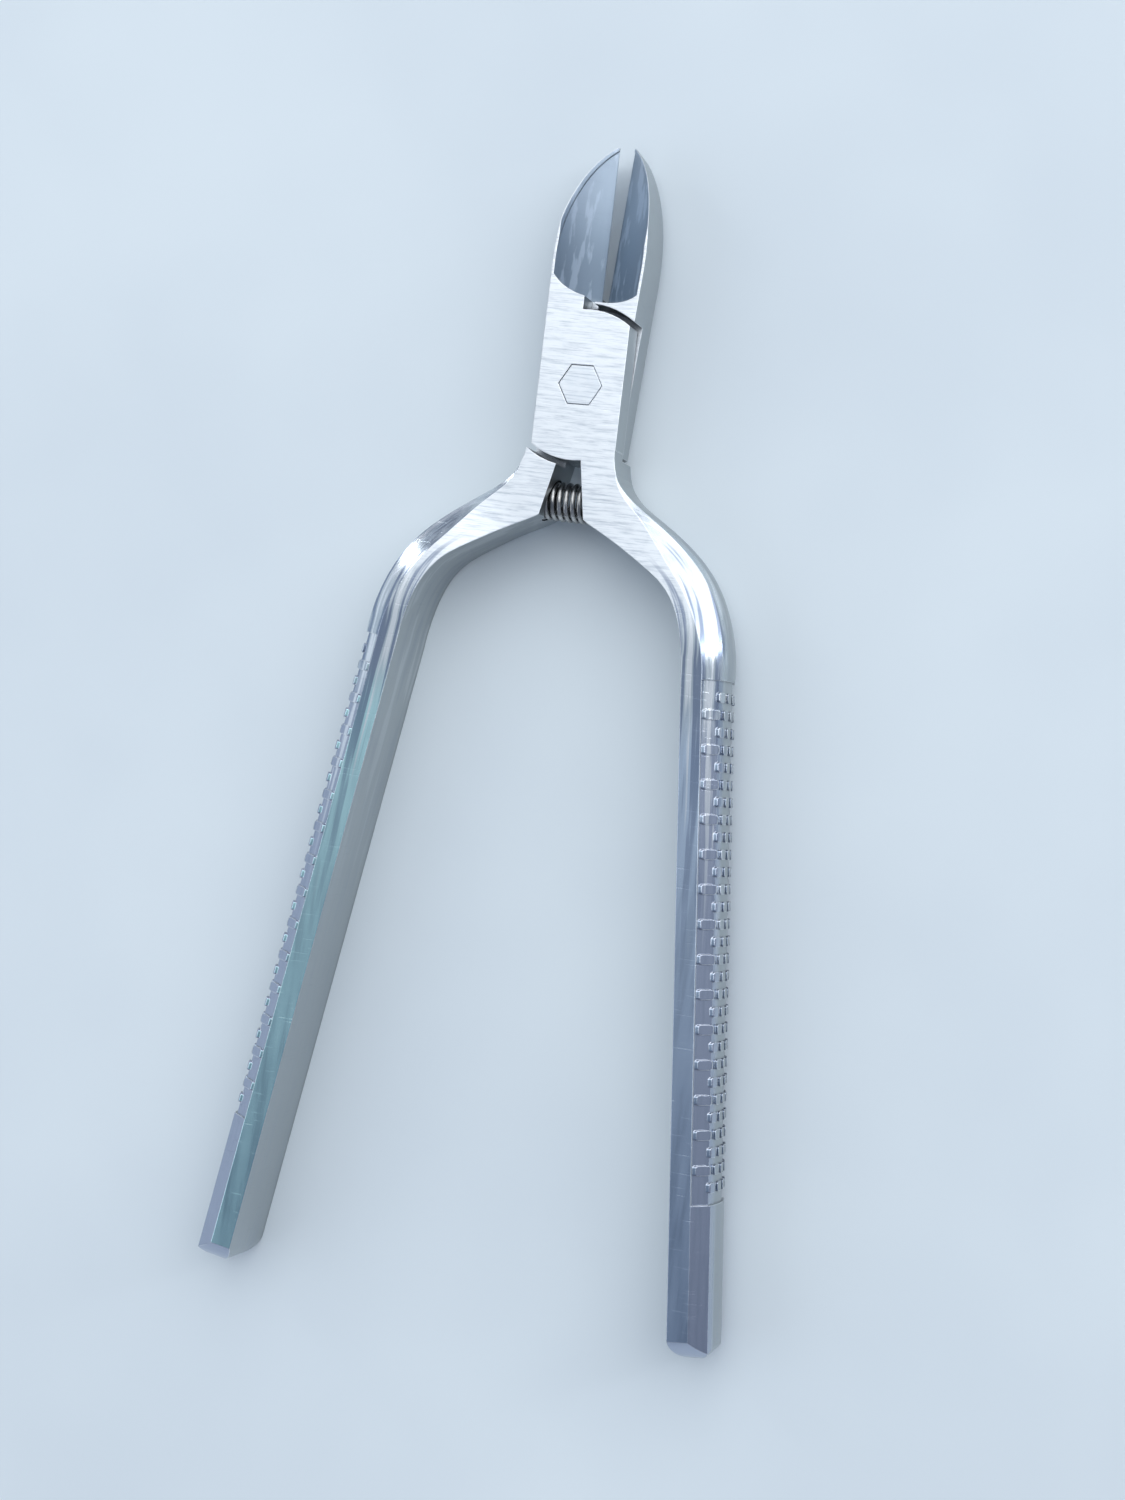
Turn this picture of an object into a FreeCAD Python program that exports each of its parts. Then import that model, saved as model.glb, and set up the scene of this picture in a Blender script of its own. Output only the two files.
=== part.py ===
import FreeCAD, Part
import math
import os

# Small hand nipper with a lap joint and a spring return. Millimetres.
# Origin: on the pivot axis, at the joint's back face. +Y runs to the jaw tips,
# +Z towards the front face. The two halves are drawn closed and then opened.

V = FreeCAD.Vector
Z_AXIS = V(0, 0, 1)

# Joint
JOINT_DEPTH = 7.6
MID_Z = JOINT_DEPTH / 2
PLATE_HALF_WIDTH = 5.15
LAP_RADIUS = 8.9
SHOULDER_RADIUS = 9.6
LAP_GAP = 0.1
OPEN_ANGLE = 1.78

# Jaws
TIP_Y = 29.3
EDGE_Z = 2.3
EDGE_GAP = 0.03
EDGE_START_Y = 11.1
RIM_LAND = 0.3
LIP_SHIFT = (0.30, -0.24)
LIP_HEIGHT = 0.28
HOLLOW_SAG = 0.45
BACK_BEVEL = 1.2
JAW_SIDE = [(-5.15, 12.0), (-4.85, 18.5), (-3.75, 23.3), (-1.65, 27.6), (-0.12, TIP_Y)]
FRONT_HOLLOW_WALL = [(1.0, 10.3), (-0.9, 10.5), (-3.5, 11.6), (-5.6, 14.2)]
BACK_HOLLOW_WALL = [(1.0, 9.95), (-2.6, 10.05), (-4.5, 10.9), (-5.6, 12.8)]
NOTCH_CORNER = (-0.75, 8.75)
NOTCH_SIZE = (2.0, 3.0, 6.0)
TIP_FLAT = 0.1

# How far cutting shapes reach past the centre plane, the tip and the back face
CUT_X = 1.0
CUT_Y = TIP_Y + 2.0
CUT_Z = -1.0

# Arms and handles
HANDLE_DEPTH = 10.2
SHOULDER_CORNER = (2.25, -15.7)
SHOULDER_OUTER = (5.6, -10.2)
SHOULDER_TOP_Y = -6.0
SHOULDER_STRAIGHT_Y = -8.2
SHOULDER_INSIDE = [(1.2, -9.3), (0.8, SHOULDER_TOP_Y)]
HANDLE_TOP = (16.4, -33.1)
HANDLE_LEAN = 5.6
HANDLE_WIDTH = 5.0
GRIP_LENGTH = 59.9
PLAIN_LENGTH = 17.9
NOSE_RADIUS = 6.5
GRIP_FRONT = 2.5
GRIP_DROP = 1.5
GRIP_BULGE = 0.5

# Sections of the curved arm: inner and outer plan points, half depth, width of the
# flat front, drop of the bevel, bow of the outer side
ARM_SECTIONS = [
    (SHOULDER_CORNER, SHOULDER_OUTER, 3.80, 6.38, 0.04, 0.02),
    ((4.30, -16.90), (7.60, -12.60), 3.81, 4.75, 0.35, 0.15),
    ((7.20, -18.55), (10.50, -14.55), 3.95, 3.80, 0.85, 0.30),
    ((10.40, -20.60), (13.70, -16.75), 4.35, 2.55, 1.45, 0.45),
    ((12.70, -22.35), (16.35, -19.10), 4.65, 1.85, 1.80, 0.50),
    ((14.40, -24.60), (18.65, -22.15), 4.85, 1.75, 1.85, 0.50),
    ((15.45, -27.20), (20.25, -25.80), 5.04, 2.05, 1.75, 0.50),
    ((16.10, -30.20), (21.15, -29.60), 5.10, 2.40, 1.60, 0.50),
]

# Grip pads
PAD_SIZE = 1.15
PAD_CORNER = 0.25
PAD_HEIGHT = 0.30
PAD_REACH = 2.8
PAD_ROW_PITCH = 2.0
PAD_COLUMN_PITCH = 2.1
PAD_END_MARGIN = 1.4

# Pivot rivet
RIVET_RADIUS = 2.0
RIVET_CLEARANCE = 0.05
RIVET_FIXED_GAP = 0.01
HEX_ACROSS_FLATS = 4.65
HEX_DEPTH = 1.8
HEX_GROOVE = 0.11
TAIL_RADIUS = 3.15
TAIL_DEPTH = 1.3
TAIL_RECESS = 0.02

# Return spring
SPRING_Y = -13.5
SPRING_OUTER_RADIUS = 2.35
SPRING_WIRE = 0.62
SPRING_TURNS = 11
POCKET_RADIUS = 2.5
POCKET_FLOOR_X = 4.9
SPRING_END_GAP = 0.05


def spline(points):
    """A smooth plan edge through points."""
    curve = Part.BSplineCurve()
    curve.interpolate([V(x, y, 0) for x, y in points])
    return curve.toShape()


def closed_plan(curve, *corners):
    """A closed plan outline: a curved edge, then straight lines through corners back to its start."""
    ends = [v.Point for v in (curve.lastVertex(), curve.firstVertex())]
    path = [ends[0]] + [V(x, y, 0) for x, y in corners] + [ends[1]]
    return Part.Wire([curve] + Part.makePolygon(path).Edges)


def upright_prism(wire, depth):
    return Part.Face(wire).extrude(V(0, 0, depth))


def disc(radius, low, high):
    """A cylinder about the pivot axis from height low to height high."""
    return Part.makeCylinder(radius, high - low, V(0, 0, low))


def arm_section(inner, outer, half_depth, front, drop, bulge, recess=0.0):
    """One upright section of an arm: flat front and back, two bevels, a bowed outer side.

    A recess lowers the bevels and the outer side, with a step beside the front and back.
    """
    start = V(inner[0], inner[1], MID_Z)
    across = V(outer[0], outer[1], MID_Z) - start
    width = across.Length
    across.normalize()

    def at(distance, height):
        return start + across * distance + Z_AXIS * height

    run = width - bulge - front
    side = front + run - recess
    side_height = half_depth - recess - drop * (run - recess) / run
    bow = Part.Arc(at(side, side_height), at(width - recess, 0), at(side, -side_height)).toShape()
    outline = [
        at(side, -side_height),
        at(front, recess - half_depth),
        at(front, -half_depth),
        at(0, -half_depth),
        at(0, half_depth),
        at(front, half_depth),
        at(front, half_depth - recess),
        at(side, side_height),
    ]
    corners = [a for a, b in zip(outline, outline[1:]) if not a.isEqual(b, 1e-6)] + outline[-1:]
    return Part.Wire([bow] + Part.makePolygon(corners).Edges)


def on_handle(across, down):
    """A plan point on the straight handle: distance from its inner side, distance below its top."""
    lean = math.radians(HANDLE_LEAN)
    x = HANDLE_TOP[0] + across * math.cos(lean) + down * math.sin(lean)
    y = HANDLE_TOP[1] + across * math.sin(lean) - down * math.cos(lean)
    return x, y


def handle_bar(start, end, recess=0.0):
    """A stretch of the straight handle; recess lowers its bevels and outer side."""
    ends = (on_handle(0, start), on_handle(HANDLE_WIDTH, start))
    section = arm_section(*ends, HANDLE_DEPTH / 2, GRIP_FRONT, GRIP_DROP, GRIP_BULGE, recess)
    run = V(*on_handle(0, end), 0) - V(*on_handle(0, start), 0)
    return Part.Face(section).extrude(run)


def bent_arm():
    """The curved arm from the joint's shoulder to the straight handle."""
    wires = [arm_section(*section) for section in ARM_SECTIONS]
    top = (on_handle(0, 0), on_handle(HANDLE_WIDTH, 0))
    wires.append(arm_section(*top, HANDLE_DEPTH / 2, GRIP_FRONT, GRIP_DROP, GRIP_BULGE))
    return Part.makeLoft(wires, True, False)


def shoulder_block():
    """The full-depth block that carries the arm away from the lap."""
    top = (PLATE_HALF_WIDTH, SHOULDER_TOP_Y)
    outer_side = spline([top, (PLATE_HALF_WIDTH, SHOULDER_STRAIGHT_Y), SHOULDER_OUTER])
    return upright_prism(closed_plan(outer_side, SHOULDER_CORNER, *SHOULDER_INSIDE), JOINT_DEPTH)


def pads():
    """Rounded squares on the grip's outer side and bevels, in staggered rows, trimmed to its outline."""
    half = PAD_SIZE / 2
    pad = Part.makeBox(PAD_REACH, PAD_SIZE, PAD_SIZE, V(HANDLE_WIDTH - PAD_REACH, -half, MID_Z - half))
    pad = pad.makeFillet(PAD_CORNER, [e for e in pad.Edges if abs(e.tangentAt(0).x) > 0.9])
    rows = int((GRIP_LENGTH - 2 * PAD_END_MARGIN) / PAD_ROW_PITCH) + 1
    first = (GRIP_LENGTH - (rows - 1) * PAD_ROW_PITCH) / 2
    copies = []
    for row in range(rows):
        columns = (-2, -1, 0, 1, 2) if row % 2 else (-1.5, -0.5, 0.5, 1.5)
        for column in columns:
            copy = pad.copy()
            copy.translate(V(0, -first - row * PAD_ROW_PITCH, column * PAD_COLUMN_PITCH))
            copies.append(copy)
    group = Part.makeCompound(copies)
    group.rotate(V(0, 0, 0), Z_AXIS, HANDLE_LEAN)
    group.translate(V(*HANDLE_TOP, 0))
    return group.common(handle_bar(0, GRIP_LENGTH))


def handle():
    """The straight handle: a recessed stretch with pads, then a plain end, rounded off."""
    padded = handle_bar(0, GRIP_LENGTH, PAD_HEIGHT).fuse(pads().Solids)
    length = GRIP_LENGTH + PLAIN_LENGTH
    half_width = HANDLE_WIDTH / 2
    plain = handle_bar(GRIP_LENGTH, length - half_width)
    tip = handle_bar(length - half_width, length)
    plan_centre = V(*on_handle(half_width, length - half_width), MID_Z - HANDLE_DEPTH)
    plan_round = Part.makeCylinder(half_width, 2 * HANDLE_DEPTH, plan_centre)
    side_centre = V(*on_handle(0, length - NOSE_RADIUS), MID_Z)
    across = V(*on_handle(HANDLE_WIDTH, length - NOSE_RADIUS), MID_Z) - side_centre
    side_round = Part.makeCylinder(NOSE_RADIUS, HANDLE_WIDTH, side_centre, across)
    return padded.fuse([plain, tip.common(plan_round).common(side_round)])


def grinding(lift):
    """What the grinding wheel clears in front of the left jaw, raised by lift."""
    edge = V(-EDGE_GAP, 0, EDGE_Z + lift)
    rim = V(-PLATE_HALF_WIDTH + RIM_LAND, 0, JOINT_DEPTH + lift)
    middle = (edge + rim) * 0.5 + (rim - edge).cross(V(0, 1, 0)).normalize() * HOLLOW_SAG
    top = 2 * JOINT_DEPTH
    rest = Part.makePolygon([rim, V(rim.x, 0, top), V(CUT_X, 0, top), V(CUT_X, 0, edge.z), edge])
    section = Part.Face(Part.Wire([Part.Arc(edge, middle, rim).toShape()] + rest.Edges))
    return section.extrude(V(0, CUT_Y, 0))


def jaw(hollow_wall):
    """The left jaw: ogive side, ground hollow in front, short bevel behind the edge."""
    blank = closed_plan(
        spline(JAW_SIDE),
        (-EDGE_GAP, TIP_Y - TIP_FLAT),
        (-EDGE_GAP, 0),
        (-PLATE_HALF_WIDTH, 0),
    )
    blank = upright_prism(blank, JOINT_DEPTH)

    tall = 2 * JOINT_DEPTH
    inside = [(x + LIP_SHIFT[0], y + LIP_SHIFT[1]) for x, y in JAW_SIDE]
    base_x, base_y = inside[0]
    inside = upright_prism(closed_plan(spline(inside), (CUT_X, CUT_Y), (CUT_X, base_y)), tall)
    below = Part.makeBox(CUT_X - base_x, JAW_SIDE[0][1], tall, V(base_x, 0, 0))
    wall_end_x = hollow_wall[-1][0]
    above_wall = closed_plan(spline(hollow_wall), (wall_end_x, CUT_Y), (CUT_X, CUT_Y))
    above_wall = upright_prism(above_wall, tall)
    outer_grind = grinding(LIP_HEIGHT).common(above_wall)
    hollow = grinding(0).common(above_wall).common(inside.fuse(below))

    bevel_x = -EDGE_GAP - BACK_BEVEL / EDGE_Z * (EDGE_Z - CUT_Z)
    edge = V(-EDGE_GAP, EDGE_START_Y, EDGE_Z)
    outer = V(CUT_X, EDGE_START_Y, EDGE_Z)
    behind = V(CUT_X, EDGE_START_Y, CUT_Z)
    bevel = Part.makePolygon([edge, outer, behind, V(bevel_x, EDGE_START_Y, CUT_Z), edge])
    bevel = Part.Face(bevel).extrude(V(0, TIP_Y, 0))
    return blank.cut([outer_grind, hollow, bevel])


def hexagon(across_flats, low, high):
    """A hexagonal prism about the pivot axis with two corners on the X axis."""
    radius = across_flats / math.sqrt(3)
    angles = [math.radians(60 * corner) for corner in range(7)]
    wire = Part.makePolygon([V(radius * math.cos(a), radius * math.sin(a), low) for a in angles])
    return upright_prism(wire, high - low)


def spring_pockets():
    """One round bore across both shoulders; its ends are the pockets' floors."""
    start = V(-POCKET_FLOOR_X, SPRING_Y, MID_Z)
    return Part.makeCylinder(POCKET_RADIUS, 2 * POCKET_FLOOR_X, start, V(1, 0, 0))


def half(front_lap):
    """One half, drawn with its jaw on the left; front_lap says which layer its plate is in."""
    hollow_wall = FRONT_HOLLOW_WALL if front_lap else BACK_HOLLOW_WALL
    body = jaw(hollow_wall).fuse([shoulder_block(), bent_arm(), handle()])
    front_layer = (MID_Z + LAP_GAP / 2, JOINT_DEPTH)
    back_layer = (0.0, MID_Z - LAP_GAP / 2)
    if front_lap:
        own, other = front_layer, (CUT_Z, front_layer[0])
        notch = Part.makeBox(*NOTCH_SIZE, V(*NOTCH_CORNER, front_layer[0]))
        body = body.cut(notch)
    else:
        own, other = back_layer, (back_layer[1], 2 * JOINT_DEPTH)
    body = body.cut(disc(SHOULDER_RADIUS, *other))
    width = 2 * PLATE_HALF_WIDTH
    band = Part.makeBox(width, 3 * LAP_RADIUS, JOINT_DEPTH, V(-width / 2, -1.5 * LAP_RADIUS, 0))
    plate = disc(LAP_RADIUS, *own).common(band)
    return body.fuse(plate).removeSplitter()


def opened(shape, angle):
    """Turns a half about the pivot and drills its side of the spring bore."""
    shape.rotate(V(0, 0, 0), Z_AXIS, angle)
    return shape.cut(spring_pockets())


def front_half():
    shape = half(True)
    bore = disc(RIVET_RADIUS + RIVET_FIXED_GAP, 0, JOINT_DEPTH)
    pocket = hexagon(HEX_ACROSS_FLATS + 2 * RIVET_FIXED_GAP, JOINT_DEPTH - HEX_DEPTH, JOINT_DEPTH)
    return opened(shape.cut([bore, pocket]), OPEN_ANGLE)


def back_half():
    shape = half(False).mirror(V(0, 0, 0), V(1, 0, 0))
    radius = RIVET_RADIUS + RIVET_CLEARANCE
    bore = disc(radius, 0, JOINT_DEPTH)
    sink = Part.makeCone(TAIL_RADIUS + RIVET_CLEARANCE, radius, TAIL_DEPTH)
    return opened(shape.cut([bore, sink]), -OPEN_ANGLE)


def pivot_rivet():
    """Hexagonal flush head, round shank and a tail headed over into the back half's countersink."""
    head = hexagon(HEX_ACROSS_FLATS, JOINT_DEPTH - HEX_DEPTH, JOINT_DEPTH)
    front_edges = [e for e in head.Edges if e.BoundBox.ZMin > JOINT_DEPTH - 0.01]
    head = head.makeChamfer(HEX_GROOVE, front_edges)
    shank = disc(RIVET_RADIUS, TAIL_RECESS, JOINT_DEPTH - HEX_DEPTH)
    tail = Part.makeCone(TAIL_RADIUS, RIVET_RADIUS, TAIL_DEPTH, V(0, 0, TAIL_RECESS))
    shape = head.fuse([shank, tail]).removeSplitter()
    shape.rotate(V(0, 0, 0), Z_AXIS, OPEN_ANGLE)
    return shape


def barrel_spring():
    """A round-wire helix along X, held between the two pocket floors."""
    length = 2 * (POCKET_FLOOR_X - SPRING_END_GAP) - SPRING_WIRE
    radius = SPRING_OUTER_RADIUS - SPRING_WIRE / 2
    pitch = length / SPRING_TURNS
    helix = Part.makeHelix(pitch, length, radius)
    lead = V(0, 2 * math.pi * radius, pitch)
    profile = Part.Wire(Part.Circle(V(radius, 0, 0), lead, SPRING_WIRE / 2).toShape())
    coil = Part.Wire(helix.Edges).makePipeShell([profile], True, True)
    coil.rotate(V(0, 0, 0), V(0, 1, 0), 90)
    coil.translate(V(-length / 2, SPRING_Y, MID_Z))
    return coil


NODES = {
    "front_half": front_half,
    "back_half": back_half,
    "pivot_rivet": pivot_rivet,
    "return_spring": barrel_spring,
}

os.makedirs("parts", exist_ok=True)
for name, make in NODES.items():
    solid = make()
    solid.exportStep(f"parts/{name}.step")
    print(name, solid.isValid(), len(solid.Solids), round(solid.Volume, 2), solid.BoundBox)
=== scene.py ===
import math
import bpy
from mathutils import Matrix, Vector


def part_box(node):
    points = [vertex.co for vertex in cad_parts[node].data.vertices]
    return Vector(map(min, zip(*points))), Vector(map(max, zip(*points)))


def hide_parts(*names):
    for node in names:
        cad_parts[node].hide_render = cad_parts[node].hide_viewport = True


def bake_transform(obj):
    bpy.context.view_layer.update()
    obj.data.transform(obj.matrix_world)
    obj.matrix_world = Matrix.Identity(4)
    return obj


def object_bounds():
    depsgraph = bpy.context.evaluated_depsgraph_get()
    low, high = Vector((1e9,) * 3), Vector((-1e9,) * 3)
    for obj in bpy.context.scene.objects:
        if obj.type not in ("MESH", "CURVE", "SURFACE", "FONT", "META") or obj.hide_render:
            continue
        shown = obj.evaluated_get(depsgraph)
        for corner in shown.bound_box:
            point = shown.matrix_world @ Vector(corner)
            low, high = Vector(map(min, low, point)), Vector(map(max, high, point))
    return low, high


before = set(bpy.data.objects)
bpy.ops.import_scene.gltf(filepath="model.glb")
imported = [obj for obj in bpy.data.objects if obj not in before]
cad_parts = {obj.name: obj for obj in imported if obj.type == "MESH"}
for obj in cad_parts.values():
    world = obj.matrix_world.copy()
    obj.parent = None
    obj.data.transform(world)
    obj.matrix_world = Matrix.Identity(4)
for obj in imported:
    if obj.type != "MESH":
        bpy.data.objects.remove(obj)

from types import SimpleNamespace

import bpy
from mathutils import Matrix, Vector

CAD_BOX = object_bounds()
MM = 0.001

# Sizes taken from the frame
JOINT_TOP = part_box("pivot_rivet")[1].z
SPRING_LOW, SPRING_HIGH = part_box("return_spring")
REST_Z = CAD_BOX[0].z

# Mesh seams that are joined, and the angle past which an edge stays sharp
SEAM = 0.0005 * MM
SHARP_ANGLE = math.radians(22)

# Centre of each arm's bend, and how far the handles lean out per unit of length
BEND_X, BEND_Y = 4.0 * MM, -30.0 * MM
HANDLE_SLOPE = 0.098

# Where the halves' finishes start and are complete, along Y
HEAD_SPAN = (-30.0 * MM, -19.0 * MM)
JAW_SPAN = (9.8 * MM, 11.2 * MM)
HOLLOW_ROOT_SPAN = (24.0 * MM, 11.0 * MM)
GRIP_SPAN = (-33.0 * MM, -42.0 * MM)
# The painted reflections along the arms: where they begin on the bevels and on the flats, and where they
# fade out
BEVEL_REFLECTIONS_SPAN = (-12.0 * MM, -17.0 * MM)
FLAT_REFLECTIONS_SPAN = (-18.0 * MM, -23.0 * MM)
REFLECTIONS_END_SPAN = (-74.0 * MM, -34.0 * MM)

# The left half of the tool, along X, where the handles' painted reflection turns teal
LEFT_SPAN = (1.0 * MM, -1.0 * MM)

# Reach of the painted corner shade, of the brighter edges (wear and painted highlight) and of the relief
# under them
CORNER_REACH = 1.6 * MM
HALF_EDGE = 0.16 * MM
RIVET_EDGE = 0.10 * MM
HALF_RELIEF = 0.03 * MM
RIVET_RELIEF = 0.02 * MM
WIRE_RELIEF = 0.01 * MM
RAY_SAMPLES = 6

# Spring wire
WIRE_RADIUS = 0.31 * MM
COIL_TURNS = 11
STEPS_PER_TURN = 40
WIRE_SIDES = 16

# Camera: how the tool is turned in front of it, where it stands, and its lens
TURN_X, TURN_Y, TURN_Z = 0.002, -0.280, -0.147
OFFSET_X, OFFSET_Y, DISTANCE = 2.07 * MM, 42.7 * MM, 304.4 * MM
LENS_MM = 62.5
NEAR_CLIP = 0.01

# Surroundings: colours overhead on the handles' side, beyond the jaws, and near the horizon,
# and the part of the sphere over which each pair blends
SKY_DIM = (0.18, 0.22, 0.29, 1.0)
SKY_BRIGHT = (0.60, 0.67, 0.74, 1.0)
SKY_LOW = (0.30, 0.34, 0.42, 1.0)
SKY_OVERHEAD_SPAN = (-0.20, 0.14)
SKY_HORIZON_SPAN = (0.30, 0.62)
FLOOR_REACH = 3.0

# Soft lights: name, place, size, watts, colour
LIGHTS = (
    ("key", (0.30, 0.55, 0.80), (1.4, 1.4), 7.5, (0.97, 0.985, 1.0)),
    ("fill", (-0.75, -0.25, 0.50), (0.8, 0.8), 1.6, (0.88, 0.94, 1.0)),
    ("strip_right", (0.60, 0.22, 0.22), (0.05, 0.50), 0.5, (0.94, 0.97, 1.0)),
    ("strip_left", (-0.60, 0.30, 0.16), (0.05, 0.50), 0.4, (0.94, 0.97, 1.0)),
)


# ---------------------------------------------------------------- node helpers

class Graph:
    """A short way to write one material's node tree."""

    def __init__(self, name):
        self.material = bpy.data.materials.new(name)
        self.material.use_nodes = True
        self.tree = self.material.node_tree
        self.tree.nodes.clear()

    def add(self, kind, inputs=None, out=0, **settings):
        made = self.tree.nodes.new(kind)
        for key, value in settings.items():
            setattr(made, key, value)
        for key, value in (inputs or {}).items():
            self.put(made.inputs[key], value)
        return made.outputs[out]

    def put(self, socket, value):
        if isinstance(value, bpy.types.NodeSocket):
            self.tree.links.new(value, socket)
        else:
            socket.default_value = value

    def maths(self, operation, a, b=0.0, clamp=False):
        return self.add("ShaderNodeMath", {0: a, 1: b}, operation=operation, use_clamp=clamp)

    def times(self, a, b):
        return self.maths("MULTIPLY", a, b)

    def inverse(self, value):
        return self.maths("SUBTRACT", 1.0, value)

    def centred(self, noise, amount):
        """Noise moved to vary about nought, times amount."""
        return self.times(self.maths("SUBTRACT", noise, 0.5), amount)

    def split(self, vector):
        """The X, Y and Z of a vector."""
        made = self.tree.nodes.new("ShaderNodeSeparateXYZ")
        self.put(made.inputs[0], vector)
        return made.outputs

    def step(self, value, low, high):
        """0 below low, 1 above high, smooth between."""
        return self.add(
            "ShaderNodeMapRange",
            {"Value": value, "From Min": low, "From Max": high, "To Min": 0.0, "To Max": 1.0},
            interpolation_type="SMOOTHSTEP",
        )

    def blend(self, factor, a, b):
        """A number between a and b."""
        return self.add("ShaderNodeMix", {0: factor, 2: a, 3: b}, data_type="FLOAT")

    def tint(self, factor, a, b):
        """A colour between a and b."""
        return self.add("ShaderNodeMix", {0: factor, 6: a, 7: b}, 2, data_type="RGBA")

    def stretch(self, coords, x, y, z, turn=0.0):
        """Coordinates multiplied by x, y and z, so that noise read from them is drawn out."""
        return self.add(
            "ShaderNodeMapping",
            {"Vector": coords, "Rotation": (0.0, 0.0, turn), "Scale": (x, y, z)},
        )

    def noise(self, coords, scale=1.0, detail=3.0, roughness=0.55):
        return self.add(
            "ShaderNodeTexNoise",
            {"Vector": coords, "Scale": scale, "Detail": detail, "Roughness": roughness},
        )

    def metal(self, colour, roughness, strength, depth, height, normal=None):
        """A bare metal with relief of the given height, on rounded normals where they are given."""
        relief = {"Strength": strength, "Distance": depth, "Height": height}
        if normal is not None:
            relief["Normal"] = normal
        bump = self.add("ShaderNodeBump", relief)
        return self.finish(self.add(
            "ShaderNodeBsdfPrincipled",
            {"Base Color": colour, "Metallic": 1.0, "Roughness": roughness, "Normal": bump},
        ))

    def finish(self, surface):
        output = self.tree.nodes.new("ShaderNodeOutputMaterial")
        self.put(output.inputs["Surface"], surface)
        return self.material


def rgb(red, green, blue):
    return (red, green, blue, 1.0)


# ------------------------------------------------------------------- materials

def scratches(graph, coords, turn, seed):
    """Thin, short, nearly straight scratches that run one way."""
    turned = graph.stretch(coords, 260.0, 5200.0, 260.0, turn)
    moved = graph.add("ShaderNodeVectorMath", {0: turned, 1: (seed, seed, seed)}, operation="ADD")
    return graph.step(graph.noise(moved, 1.0, 1.0, 0.4), 0.70, 0.76)


def arm_coords(graph, place):
    """Coordinates that follow each arm round its bend and down the handle, drawn out lengthwise."""
    side = graph.maths("SUBTRACT", graph.maths("ABSOLUTE", place["X"]), BEND_X)
    height = graph.maths("SUBTRACT", place["Y"], BEND_Y)
    above = graph.maths("MAXIMUM", height, 0.0)
    below = graph.maths("MINIMUM", height, 0.0)
    squares = graph.maths("ADD", graph.times(side, side), graph.times(above, above))
    outward = graph.maths("ADD", graph.maths("SQRT", squares), graph.times(below, HANDLE_SLOPE))
    joined = graph.add("ShaderNodeCombineXYZ", {0: outward, 1: place["Y"], 2: place["Z"]})
    return graph.stretch(joined, 1150.0, 38.0, 620.0)


def half_regions(graph, place, normal):
    """Where each finish of the halves lies, from a point's place and the way its face looks."""
    upness = graph.maths("ABSOLUTE", graph.split(normal)["Z"])
    flat = graph.step(upness, 0.93, 0.985)
    upright = graph.step(upness, 0.30, 0.12)
    sloped = graph.times(graph.inverse(flat), graph.inverse(upright))
    return SimpleNamespace(
        flat=flat,
        upright=upright,
        sloped=sloped,
        brushed=graph.times(flat, graph.step(place["Y"], *HEAD_SPAN)),
        hollow=graph.times(graph.step(place["Y"], *JAW_SPAN), sloped),
    )


def half_lines(graph, coords, region):
    """Grinding lines across the flats and along the sides; also those in the hollows alone."""
    across = graph.noise(graph.stretch(coords, 230.0, 5200.0, 230.0, 0.10), 1.0, 4.0, 0.66)
    coarse = graph.noise(graph.stretch(coords, 260.0, 1700.0, 260.0, -0.12), 1.0, 3.0, 0.7)
    lengthwise = graph.noise(graph.stretch(coords, 900.0, 70.0, 3600.0))
    swept = graph.noise(graph.stretch(coords, 900.0, 150.0, 600.0, 0.45), 1.0, 4.0, 0.6)
    outside = graph.blend(region.brushed, lengthwise, graph.blend(0.45, across, coarse))
    return graph.blend(region.hollow, outside, swept), swept


def half_roughness(graph, region, grain, broad, marks):
    rough = graph.blend(region.upright, 0.17, 0.36)
    rough = graph.blend(region.brushed, rough, 0.40)
    rough = graph.blend(region.hollow, rough, 0.46)
    rough = graph.maths("ADD", graph.centred(grain, 0.22), rough)
    rough = graph.maths("ADD", rough, graph.centred(broad, 0.10))
    return graph.maths("ADD", rough, graph.times(marks, 0.08), True)


def region_colour(graph, region, place, broad):
    """Cool steel: whiter on the brushed head, partly its finish and partly painted light; darker on the
    sides as painted shade; on the handles' flats a painted reflection, teal on the left; darker
    blue-purple on their bevels.
    """
    grip = graph.step(place["Y"], *GRIP_SPAN)
    left = graph.step(place["X"], *LEFT_SPAN)
    # Painted reflection on the handles' flats: blue on the right, teal on the left
    painted_handle_reflection = graph.tint(left, rgb(0.60, 0.70, 0.84), rgb(0.62, 0.90, 0.92))
    shade = graph.tint(graph.step(broad, 0.32, 0.68), rgb(0.60, 0.66, 0.71), rgb(0.72, 0.76, 0.79))
    # Whiter on the brushed head: its finish, and painted light on its flat faces
    shade = graph.tint(region.brushed, shade, rgb(0.95, 0.97, 0.99))
    # Painted shade: the upright sides darkened
    shade = graph.tint(region.upright, shade, rgb(0.46, 0.49, 0.50))
    shade = graph.tint(graph.times(grip, region.flat), shade, painted_handle_reflection)
    return graph.tint(graph.times(grip, region.sloped), shade, rgb(0.42, 0.46, 0.57))


def hollow_colour(graph, place, swept):
    """Blue-grey, darker towards the root, with lighter sweeps left by the grinding wheel."""
    root = graph.step(place["Y"], *HOLLOW_ROOT_SPAN)
    shade = graph.tint(root, rgb(0.37, 0.44, 0.52), rgb(0.25, 0.31, 0.38))
    sweeps = graph.times(graph.step(swept, 0.53, 0.62), 0.50)
    return graph.tint(sweeps, shade, rgb(0.58, 0.66, 0.76))


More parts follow.
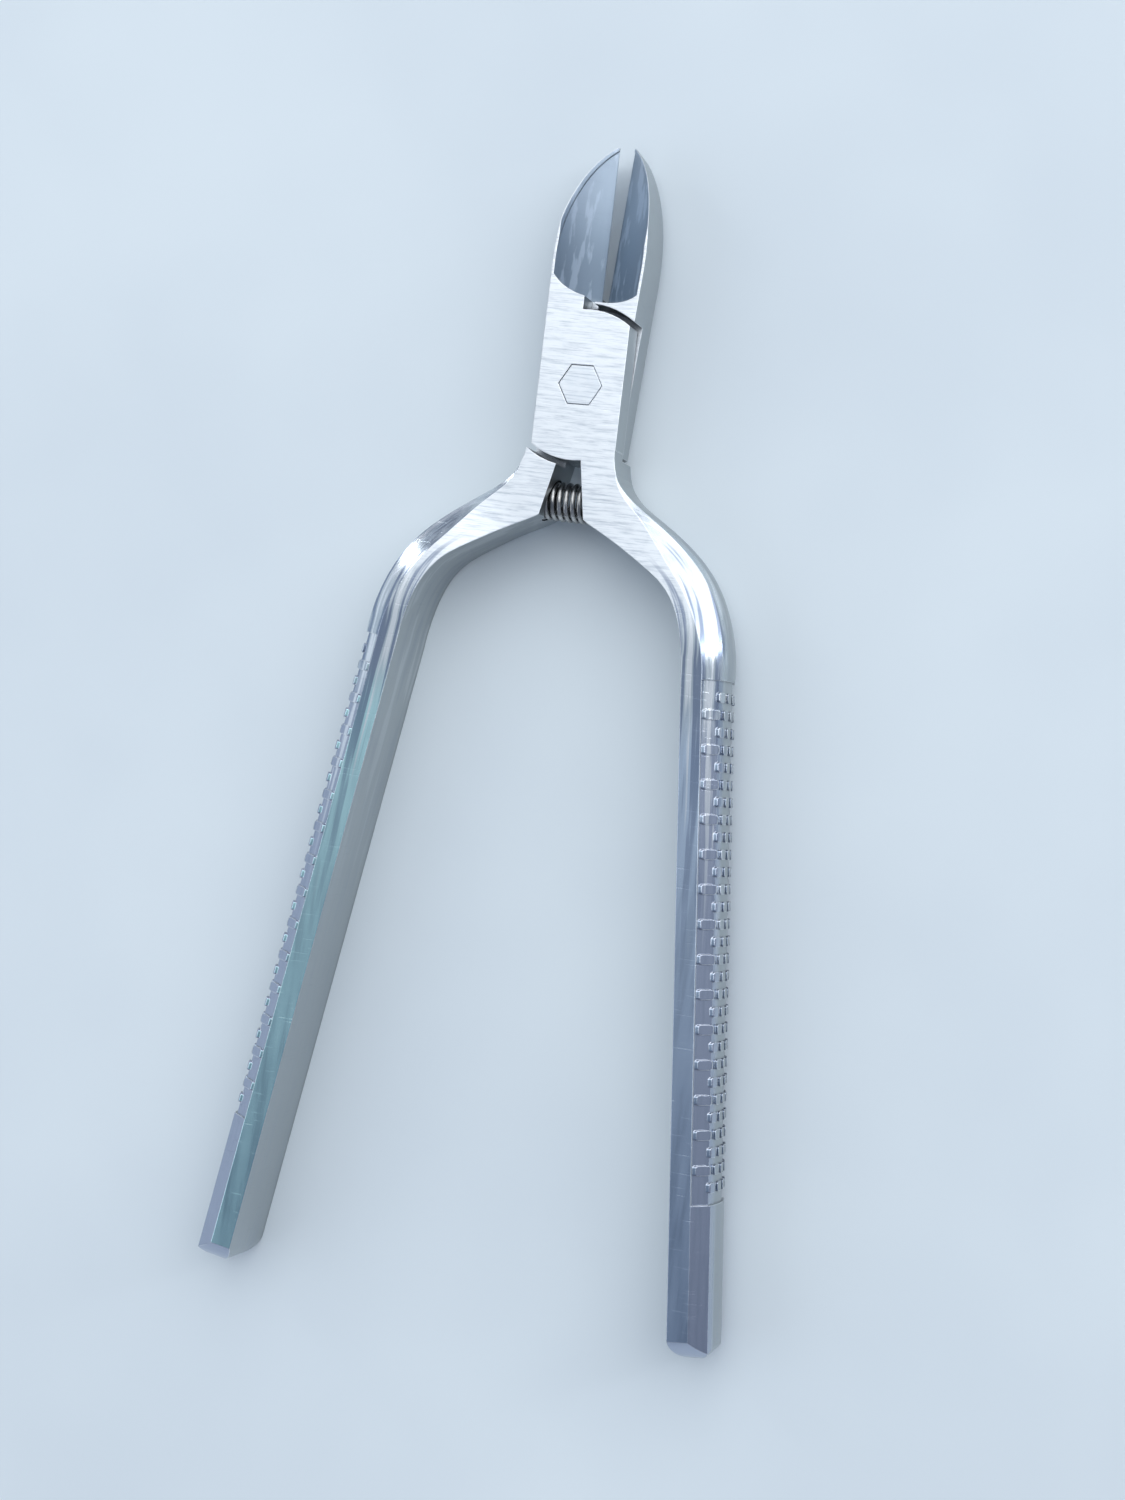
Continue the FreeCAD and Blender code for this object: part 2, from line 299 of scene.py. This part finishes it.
def painted_arm_reflections(graph, shade, region, place):
    """Adds the painted reflections: long dark and bright streaks that run down the arms and handles."""
    on_bevel = graph.step(place["Y"], *BEVEL_REFLECTIONS_SPAN)
    on_flat = graph.step(place["Y"], *FLAT_REFLECTIONS_SPAN)
    strength = graph.blend(region.flat, on_bevel, on_flat)
    strength = graph.times(strength, graph.step(place["Y"], *REFLECTIONS_END_SPAN))
    strength = graph.times(strength, graph.inverse(graph.times(region.upright, 0.8)))
    flow = graph.noise(arm_coords(graph, place), 1.0, 2.0, 0.5)
    # Painted reflections: dark and bright streaks
    dark = graph.times(graph.step(flow, 0.47, 0.38), graph.times(strength, 0.75))
    bright = graph.times(graph.step(flow, 0.55, 0.62), graph.times(strength, 0.8))
    shade = graph.tint(dark, shade, rgb(0.16, 0.21, 0.33))
    return graph.tint(bright, shade, rgb(0.97, 0.98, 1.0))


def half_steel():
    """Stainless forging: cross-brushed flats, polished bevels and handles, ground hollows."""
    graph = Graph("half_steel")
    texture = graph.tree.nodes.new("ShaderNodeTexCoord")
    coords = texture.outputs["Object"]
    place = graph.split(coords)
    region = half_regions(graph, place, texture.outputs["Normal"])
    grain, swept = half_lines(graph, coords, region)
    broad = graph.noise(coords, 130.0)
    fine = graph.noise(coords, 2400.0)
    marks = graph.maths("MAXIMUM", scratches(graph, coords, 0.5, 3.0), scratches(graph, coords, -0.9, 9.0))

    shade = region_colour(graph, region, place, broad)
    in_hollow = graph.times(region.hollow, 0.95)
    shade = graph.tint(in_hollow, shade, hollow_colour(graph, place, swept))
    line_depth = graph.blend(region.brushed, 0.22, 0.50)
    lines = graph.blend(graph.step(grain, 0.32, 0.56), line_depth, 0.0)
    shade = graph.tint(lines, shade, rgb(0.28, 0.34, 0.42))

    # Painted shade: tight corners darkened from ambient occlusion, laid under the painted arm reflections
    corner = graph.add("ShaderNodeAmbientOcclusion", {"Distance": CORNER_REACH}, 1, samples=RAY_SAMPLES)
    painted_corner_shade = graph.times(graph.step(corner, 0.72, 0.18), 0.96)
    shade = graph.tint(painted_corner_shade, shade, rgb(0.07, 0.08, 0.10))
    # Painted reflections along the arms and handles
    shade = painted_arm_reflections(graph, shade, region, place)

    # Brighter edges, where the rounded normal parts from the face's own: partly wear, partly a painted
    # highlight, kept out of tight corners
    soft_edge = graph.add("ShaderNodeBevel", {"Radius": HALF_EDGE}, samples=RAY_SAMPLES)
    own = graph.add("ShaderNodeNewGeometry", out=1)
    turned = graph.add("ShaderNodeVectorMath", {0: soft_edge, 1: own}, 1, operation="DOT_PRODUCT")
    worn_and_highlit_edge = graph.times(graph.step(turned, 0.985, 0.88), graph.step(corner, 0.45, 0.8))
    shade = graph.tint(graph.times(worn_and_highlit_edge, 0.85), shade, rgb(0.98, 0.99, 1.0))

    relief = graph.maths("ADD", grain, graph.times(fine, 0.25))
    relief = graph.maths("SUBTRACT", relief, graph.times(marks, 0.8))
    depth = graph.blend(region.brushed, 0.12, 0.55)
    rough = half_roughness(graph, region, grain, broad, marks)
    return graph.metal(shade, rough, depth, HALF_RELIEF, relief, soft_edge)


def rivet_steel():
    """The rivet's ends: ground off with the plate, so the same cross lines, a little duller."""
    graph = Graph("rivet_steel")
    coords = graph.tree.nodes.new("ShaderNodeTexCoord").outputs["Object"]
    lines = graph.noise(graph.stretch(coords, 230.0, 5000.0, 230.0, 0.16), 1.0, 4.0, 0.66)
    cloud = graph.noise(coords, 420.0)
    shade = graph.tint(graph.step(cloud, 0.3, 0.7), rgb(0.84, 0.88, 0.92), rgb(0.94, 0.96, 0.98))
    dark = graph.blend(graph.step(lines, 0.3, 0.56), 0.45, 0.0)
    shade = graph.tint(dark, shade, rgb(0.28, 0.34, 0.42))
    soft_edge = graph.add("ShaderNodeBevel", {"Radius": RIVET_EDGE}, samples=RAY_SAMPLES)
    return graph.metal(shade, graph.blend(cloud, 0.30, 0.44), 0.30, RIVET_RELIEF, lines, soft_edge)


def spring_wire():
    """Drawn wire: darker, warmer than the halves, with faint drawing lines and stains."""
    graph = Graph("spring_wire")
    coords = graph.tree.nodes.new("ShaderNodeTexCoord").outputs["Object"]
    stains = graph.noise(coords, 900.0, 4.0)
    lines = graph.noise(graph.stretch(coords, 9000.0, 900.0, 900.0))
    shade = graph.tint(graph.step(stains, 0.35, 0.68), rgb(0.36, 0.35, 0.34), rgb(0.58, 0.57, 0.56))
    return graph.metal(shade, graph.blend(stains, 0.16, 0.34), 0.12, WIRE_RELIEF, lines)


def floor_cloth():
    """A plain pale surface with only a trace of unevenness."""
    graph = Graph("floor")
    coords = graph.tree.nodes.new("ShaderNodeTexCoord").outputs["Object"]
    cloud = graph.noise(coords, 14.0)
    shade = graph.tint(graph.step(cloud, 0.3, 0.7), rgb(0.74, 0.80, 0.84), rgb(0.80, 0.86, 0.89))
    return graph.finish(graph.add("ShaderNodeBsdfPrincipled", {"Base Color": shade, "Roughness": 0.9}))


# ---------------------------------------------------------------------- pieces

def coil():
    """The spring's wire as a closed tube on a helix about its own X axis."""
    length = SPRING_HIGH.x - SPRING_LOW.x - 2 * WIRE_RADIUS
    coil_radius = (SPRING_HIGH.z - SPRING_LOW.z) / 2 - WIRE_RADIUS
    centre_y = (SPRING_LOW.y + SPRING_HIGH.y) / 2
    centre_z = (SPRING_LOW.z + SPRING_HIGH.z) / 2
    steps = COIL_TURNS * STEPS_PER_TURN
    verts, faces = [], []
    for step in range(steps + 1):
        turn = 2 * math.pi * step / STEPS_PER_TURN
        along = SPRING_LOW.x + WIRE_RADIUS + length * step / steps
        outward = Vector((0, math.cos(turn), math.sin(turn)))
        middle = Vector((along, centre_y, centre_z)) + outward * coil_radius
        arc = coil_radius * 2 * math.pi / STEPS_PER_TURN
        lead = Vector((length / steps, -math.sin(turn) * arc, math.cos(turn) * arc))
        third = lead.normalized().cross(outward)
        for side in range(WIRE_SIDES):
            angle = 2 * math.pi * side / WIRE_SIDES
            verts.append(middle + (outward * math.cos(angle) + third * math.sin(angle)) * WIRE_RADIUS)
    for step in range(steps):
        for side in range(WIRE_SIDES):
            a = step * WIRE_SIDES + side
            b = step * WIRE_SIDES + (side + 1) % WIRE_SIDES
            faces.append((a, b, b + WIRE_SIDES, a + WIRE_SIDES))
    faces.append(tuple(reversed(range(WIRE_SIDES))))
    faces.append(tuple(steps * WIRE_SIDES + side for side in range(WIRE_SIDES)))
    mesh = bpy.data.meshes.new("return_spring_coil")
    mesh.from_pydata([tuple(v) for v in verts], [], faces)
    mesh.update()
    mesh.shade_smooth()
    piece = bpy.data.objects.new("return_spring_coil", mesh)
    bpy.context.scene.collection.objects.link(piece)
    return piece


def smoothing():
    """A node group that joins a mesh's seams, smooths its faces and keeps its sharp edges."""
    group = bpy.data.node_groups.new("smooth_by_angle", "GeometryNodeTree")
    for direction in ("INPUT", "OUTPUT"):
        group.interface.new_socket("Geometry", in_out=direction, socket_type="NodeSocketGeometry")
    source = group.nodes.new("NodeGroupInput")
    merge = group.nodes.new("GeometryNodeMergeByDistance")
    merge.inputs["Distance"].default_value = SEAM
    drop = group.nodes.new("GeometryNodeRemoveAttribute")
    drop.inputs["Name"].default_value = "custom_normal"
    smooth = group.nodes.new("GeometryNodeSetShadeSmooth")
    angle = group.nodes.new("GeometryNodeInputMeshEdgeAngle")
    sharp = group.nodes.new("FunctionNodeCompare")
    sharp.inputs[1].default_value = SHARP_ANGLE
    keep = group.nodes.new("GeometryNodeSetShadeSmooth")
    keep.domain = "EDGE"
    keep.inputs["Shade Smooth"].default_value = False
    target = group.nodes.new("NodeGroupOutput")
    chain = (source, merge, drop, smooth, keep, target)
    for first, second in zip(chain, chain[1:]):
        group.links.new(first.outputs[0], second.inputs[0])
    group.links.new(angle.outputs["Unsigned Angle"], sharp.inputs[0])
    group.links.new(sharp.outputs[0], keep.inputs["Selection"])
    return group


def dress(node, material, group):
    """Gives a CAD node its finish, with smooth curved faces and sharp edges kept."""
    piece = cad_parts[node]
    piece.data.materials.clear()
    piece.data.materials.append(material)
    piece.modifiers.new("smooth_by_angle", "NODES").node_group = group


steel = half_steel()
smooth_group = smoothing()
for half in ("front_half", "back_half"):
    dress(half, steel, smooth_group)
dress("pivot_rivet", rivet_steel(), smooth_group)

spring = coil()
spring.data.materials.append(spring_wire())
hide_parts("return_spring")
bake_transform(spring)


# ----------------------------------------------------------------------- stage

def floor():
    """A plain floor at the height that the tool rests on."""
    mesh = bpy.data.meshes.new("floor")
    corners = [(-1, -1), (1, -1), (1, 1), (-1, 1)]
    mesh.from_pydata([(x * FLOOR_REACH, y * FLOOR_REACH, REST_Z) for x, y in corners], [], [(0, 1, 2, 3)])
    mesh.materials.append(floor_cloth())
    piece = bpy.data.objects.new("floor", mesh)
    bpy.context.scene.collection.objects.link(piece)


def area_light(name, place, size, watts, colour):
    """A soft rectangular light aimed at the tool."""
    data = bpy.data.lights.new(name, "AREA")
    data.shape = "RECTANGLE"
    data.size, data.size_y = size
    data.energy = watts
    data.color = colour
    lamp = bpy.data.objects.new(name, data)
    bpy.context.scene.collection.objects.link(lamp)
    lamp.location = place
    lamp.rotation_mode = "QUATERNION"
    lamp.rotation_quaternion = (-Vector(place)).to_track_quat("-Z", "Y")


def sky():
    """Soft surroundings: bright above and beyond the jaws, dimmer on the handles' side and low down."""
    world = bpy.data.worlds.new("studio")
    bpy.context.scene.world = world
    world.use_nodes = True
    tree = world.node_tree
    tree.nodes.clear()
    coords = tree.nodes.new("ShaderNodeTexCoord")
    split = tree.nodes.new("ShaderNodeSeparateXYZ")
    tree.links.new(coords.outputs["Generated"], split.inputs[0])

    def fade(axis, span, first):
        """A blend along an axis; its second colour is still to be set or linked."""
        ramp = tree.nodes.new("ShaderNodeMapRange")
        ramp.interpolation_type = "SMOOTHSTEP"
        tree.links.new(split.outputs[axis], ramp.inputs["Value"])
        ramp.inputs["From Min"].default_value, ramp.inputs["From Max"].default_value = span
        mix = tree.nodes.new("ShaderNodeMix")
        mix.data_type = "RGBA"
        tree.links.new(ramp.outputs[0], mix.inputs[0])
        mix.inputs[6].default_value = first
        return mix.inputs[7], mix.outputs[2]

    high, overhead = fade("Y", SKY_OVERHEAD_SPAN, SKY_DIM)
    high.default_value = SKY_BRIGHT
    upper, whole = fade("Z", SKY_HORIZON_SPAN, SKY_LOW)
    tree.links.new(overhead, upper)
    background = tree.nodes.new("ShaderNodeBackground")
    tree.links.new(whole, background.inputs[0])
    output = tree.nodes.new("ShaderNodeOutputWorld")
    tree.links.new(background.outputs[0], output.inputs[0])


def camera():
    """The camera: fixed turn and distance, looking down on the joint's front face."""
    turn = (
        Matrix.Rotation(TURN_Z, 3, "Z")
        @ Matrix.Rotation(TURN_X, 3, "X")
        @ Matrix.Rotation(TURN_Y, 3, "Y")
    )
    back = turn.transposed()
    data = bpy.data.cameras.new("camera")
    data.lens = LENS_MM
    data.clip_start = NEAR_CLIP
    item = bpy.data.objects.new("camera", data)
    bpy.context.scene.collection.objects.link(item)
    item.rotation_mode = "QUATERNION"
    item.rotation_quaternion = back.to_quaternion()
    item.location = back @ Vector((-OFFSET_X, -OFFSET_Y, DISTANCE)) + Vector((0, 0, JOINT_TOP))
    bpy.context.scene.camera = item


floor()
sky()
for light in LIGHTS:
    area_light(*light)
camera()
bpy.context.scene.view_settings.view_transform = "Standard"
